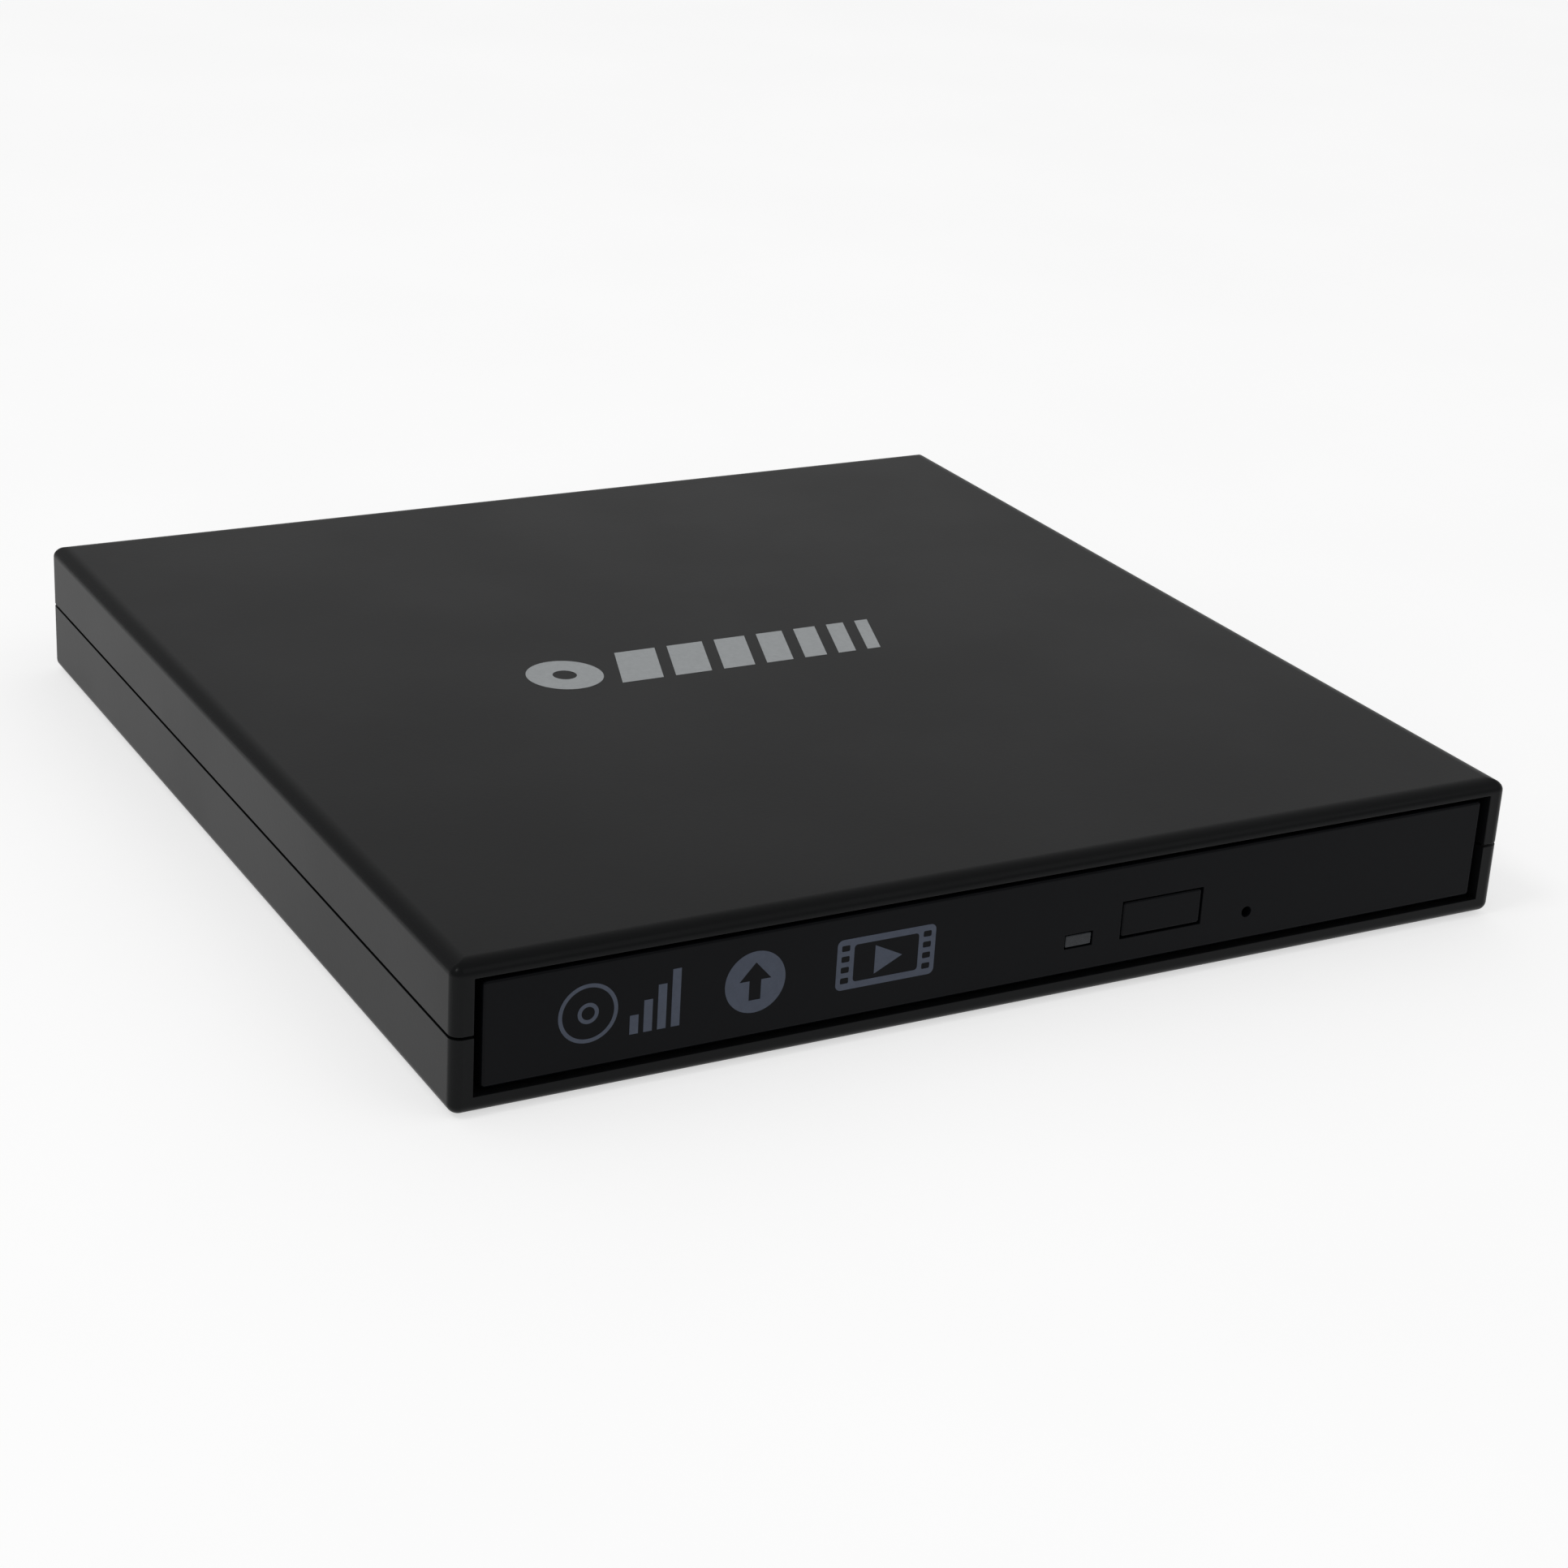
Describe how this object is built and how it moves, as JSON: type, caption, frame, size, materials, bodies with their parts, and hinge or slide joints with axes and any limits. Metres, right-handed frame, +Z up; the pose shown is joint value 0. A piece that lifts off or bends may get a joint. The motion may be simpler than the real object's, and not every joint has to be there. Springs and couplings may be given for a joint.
{
  "type": "external optical drive",
  "caption": "Slim portable disc drive in a square black case with a front-loading tray, eject button, status light and rear sockets.",
  "frame": {"origin": "centre of the case's footprint, on the surface that the rubber feet stand on", "axes": "+Z up; +Y to the back, where the sockets are; the tray slides out towards -Y; +X to the right seen from the front"},
  "size_m": [0.1348, 0.137, 0.0175],
  "materials": {
    "case_black": "fine moulded grain, semi-matte",
    "bezel_black": "fine moulded grain, satin",
    "tray_black": "satin",
    "rubber": "matte",
    "sheet_steel": "rolled, zinc plated",
    "black_steel": "black coated",
    "screw_black": "black oxide",
    "polished_steel": "ground and polished",
    "zinc_casting": "die cast, matte",
    "board_green": "solder mask",
    "component_black": "moulded, matte",
    "white_plastic": "acetal, satin",
    "grey_plastic": "acetal, satin",
    "light_pipe": "smoked, translucent",
    "copper_winding": "enamelled wire",
    "flex_amber": "polyimide film",
    "brass": "turned",
    "lens_glass": "coated",
    "silver_print": "silver screen print",
    "grey_print": "blue-grey screen print",
    "label": "blank satin label"
  },
  "bodies": {
    "case": {"top_shell": "case_black", "bottom_shell": "case_black", "foot_front_left": "rubber", "foot_front_right": "rubber", "foot_rear_left": "rubber", "foot_rear_right": "rubber", "case_screw_left": "screw_black", "case_screw_right": "screw_black", "drive_screw_left": "screw_black", "drive_screw_right": "screw_black", "bridge_board": "board_green", "usb_socket": "sheet_steel", "usb_tongue": "component_black", "power_jack": "component_black", "power_jack_pin": "brass", "bridge_chip": "component_black", "bridge_crystal": "sheet_steel", "bridge_capacitor": "sheet_steel", "bridge_plug": "component_black", "drive_base": "sheet_steel", "drive_cover": "sheet_steel", "rail_guide_left": "white_plastic", "rail_guide_right": "white_plastic", "lock_post": "polished_steel", "drive_board": "board_green", "drive_connector": "component_black", "flex_cable": "flex_amber"},
    "rail_left": {"slide_rail_left": "sheet_steel"},
    "rail_right": {"slide_rail_right": "sheet_steel"},
    "tray": {"tray": "tray_black", "bezel": "bezel_black", "led_window": "light_pipe", "tray_shield": "sheet_steel", "tray_board": "board_green", "eject_switch": "component_black", "status_led": "white_plastic", "solenoid": "copper_winding", "latch_pivot": "polished_steel", "ejector_spring": "polished_steel", "traverse_frame": "black_steel", "pickup_cover": "black_steel", "guide_rod_main": "polished_steel", "guide_rod_sub": "polished_steel", "spindle_base": "sheet_steel", "spindle_stator": "copper_winding", "sled_motor": "sheet_steel"},
    "button": {"eject_button": "bezel_black"},
    "latch": {"latch_lever": "white_plastic"},
    "ejector": {"ejector_rod": "grey_plastic"},
    "spindle": {"turntable": "black_steel", "turntable_pad": "rubber"},
    "claw_1": {"clamp_claw_1": "white_plastic"},
    "claw_2": {"clamp_claw_2": "white_plastic"},
    "claw_3": {"clamp_claw_3": "white_plastic"},
    "sled": {"pickup_sled": "zinc_casting"},
    "lens": {"lens_holder": "component_black", "objective_lens": "lens_glass"},
    "screw": {"lead_screw": "brass"}
  },
  "joints": [
    {"name": "tray_slide", "type": "slide", "parent": "case", "child": "tray", "axis": [0, -1, 0], "range_m": [0, 0.128], "deforming": ["flex_cable"]},
    {"name": "rail_left_slide", "type": "slide", "parent": "case", "child": "rail_left", "axis": [0, -1, 0], "range_m": [0, 0.064]},
    {"name": "rail_right_slide", "type": "slide", "parent": "case", "child": "rail_right", "axis": [0, -1, 0], "range_m": [0, 0.064]},
    {"name": "eject_button_press", "type": "slide", "parent": "tray", "child": "button", "axis": [0, 1, 0], "range_m": [0, 0.0006], "stiffness_N_per_m": 500},
    {"name": "latch_swing", "type": "hinge", "parent": "tray", "child": "latch", "pos_m": [0.047, -0.04, 0.0067], "axis": [0, 0, 1], "range_deg": [0, 11]},
    {"name": "ejector_push", "type": "slide", "parent": "tray", "child": "ejector", "axis": [0, 1, 0], "range_m": [0, 0.012], "deforming": ["ejector_spring"]},
    {"name": "spindle_spin", "type": "hinge", "parent": "tray", "child": "spindle", "pos_m": [0, -0.003, 0.0112], "axis": [0, 0, 1], "continuous": true},
    {"name": "sled_slide", "type": "slide", "parent": "tray", "child": "sled", "axis": [-0.6428, -0.766, 0], "range_m": [0, 0.032]},
    {"name": "lead_screw_spin", "type": "hinge", "parent": "tray", "child": "screw", "pos_m": [-0.00641, -0.04331, 0.0072], "axis": [-0.6428, -0.766, 0], "range_deg": [0, 3841]},
    {"name": "lens_focus", "type": "slide", "parent": "sled", "child": "lens", "axis": [0, 0, 1], "range_m": [-0.0004, 0.0004], "stiffness_N_per_m": 60},
    {"name": "clamp_claw_1_slide", "type": "slide", "parent": "spindle", "child": "claw_1", "axis": [0.1736, 0.9848, 0], "range_m": [0, 0.0004], "stiffness_N_per_m": 80},
    {"name": "clamp_claw_2_slide", "type": "slide", "parent": "spindle", "child": "claw_2", "axis": [-0.9397, -0.342, 0], "range_m": [0, 0.0004], "stiffness_N_per_m": 80},
    {"name": "clamp_claw_3_slide", "type": "slide", "parent": "spindle", "child": "claw_3", "axis": [0.766, -0.6428, 0], "range_m": [0, 0.0004], "stiffness_N_per_m": 80}
  ],
  "couplings": [
    {"joint": "rail_left_slide", "follows": "tray_slide", "ratio": 0.5},
    {"joint": "rail_right_slide", "follows": "tray_slide", "ratio": 0.5},
    {"joint": "ejector_push", "follows": "tray_slide", "ratio": 0.09375},
    {"joint": "lead_screw_spin", "follows": "sled_slide", "rad_per_m": 2094.4}
  ]
}
